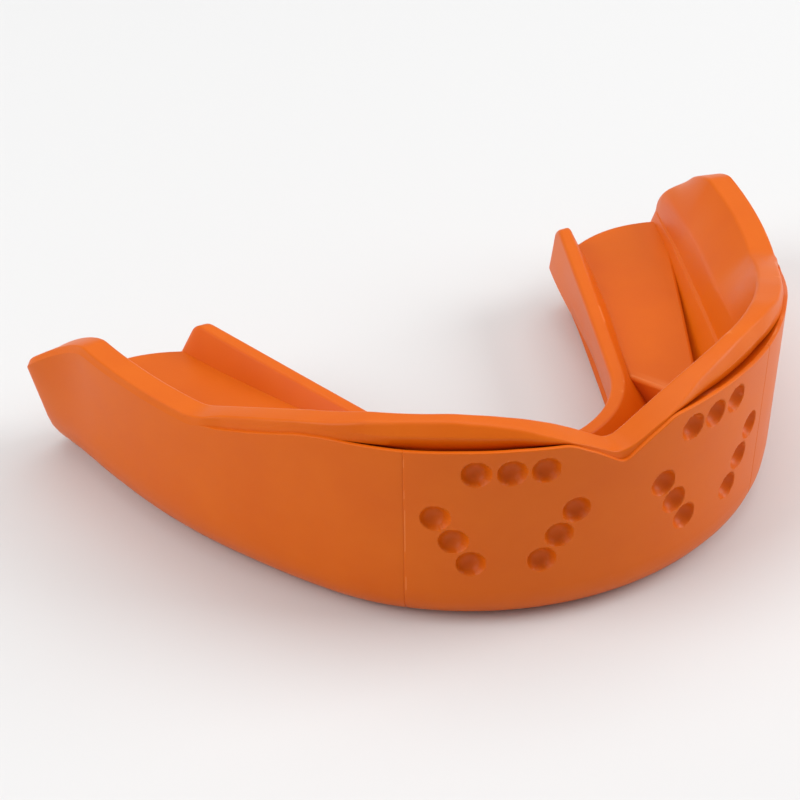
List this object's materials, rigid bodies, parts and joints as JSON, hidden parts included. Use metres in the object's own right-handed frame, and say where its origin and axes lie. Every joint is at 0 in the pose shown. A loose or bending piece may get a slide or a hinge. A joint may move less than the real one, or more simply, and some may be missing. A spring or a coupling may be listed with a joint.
{
  "type": "mouthguard",
  "caption": "U-shaped moulded guard that covers the upper teeth, with a raised cheek wall, a low tongue-side flange, a pitted lip panel and a wedge-shaped bite pad in each arm",
  "frame": {"origin": "centre of the flat underside, under the middle of the overall box", "axes": "+X across the arch (the side called right), -Y towards the lips, +Z towards the gums; symmetric in X"},
  "size_m": [0.0704, 0.0463, 0.0207],
  "materials": {
    "shell_plastic": "satin moulded",
    "panel_plastic": "satin moulded",
    "liner_plastic": "satin moulded",
    "pad_plastic": "satin moulded"
  },
  "bodies": {
    "root": {"outer_shell": "shell_plastic", "front_panel": "panel_plastic", "fitting_liner": "liner_plastic", "bite_pad_left": "pad_plastic", "bite_pad_right": "pad_plastic"}
  },
  "joints": []
}
